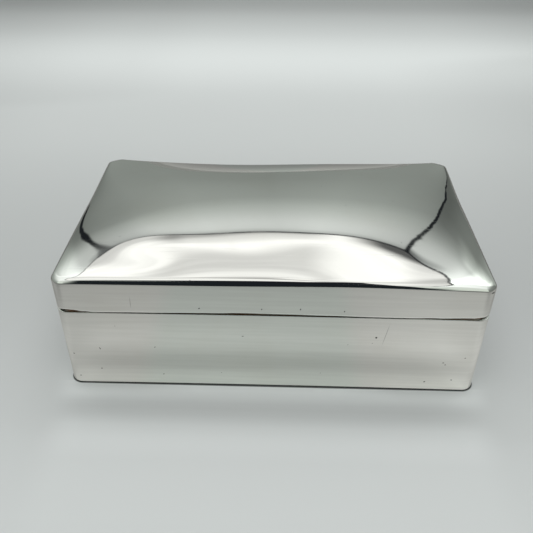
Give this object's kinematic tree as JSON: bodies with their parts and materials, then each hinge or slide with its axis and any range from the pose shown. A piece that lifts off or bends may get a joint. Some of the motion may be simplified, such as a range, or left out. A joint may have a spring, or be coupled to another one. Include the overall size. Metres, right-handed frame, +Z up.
{
  "type": "silver table box",
  "caption": "Rectangular polished silver table box with a low crowned lid on a full-length back hinge and a cedar lining with a divider, for keeping small things.",
  "frame": {"origin": "centre of the underside, on the surface that the box stands on", "axes": "+X along the front edge to the right, +Y from the front to the hinge at the back, +Z up"},
  "size_m": [0.175, 0.1085, 0.0657],
  "materials": {
    "silver": "polished",
    "cedar": "planed",
    "hardwood": "polished",
    "pin_steel": "drawn"
  },
  "bodies": {
    "base": {"body_wall": "silver", "body_rim_strip": "silver", "base_board": "hardwood", "lining_front": "cedar", "lining_back": "cedar", "lining_left": "cedar", "lining_right": "cedar", "lining_floor": "cedar", "lining_divider": "cedar", "hinge_bearer_body": "silver", "hinge_knuckle_1": "silver", "hinge_knuckle_3": "silver", "hinge_knuckle_5": "silver", "hinge_knuckle_7": "silver", "hinge_pin": "pin_steel"},
    "lid": {"lid_shell": "silver", "lid_rim_strip": "silver", "hinge_bearer_lid": "silver", "hinge_knuckle_2": "silver", "hinge_knuckle_4": "silver", "hinge_knuckle_6": "silver"}
  },
  "joints": [
    {"name": "lid_hinge", "type": "hinge", "parent": "base", "child": "lid", "pos_m": [0, 0.05255, 0.03935], "axis": [-1, 0, 0], "range_deg": [0, 100]}
  ]
}
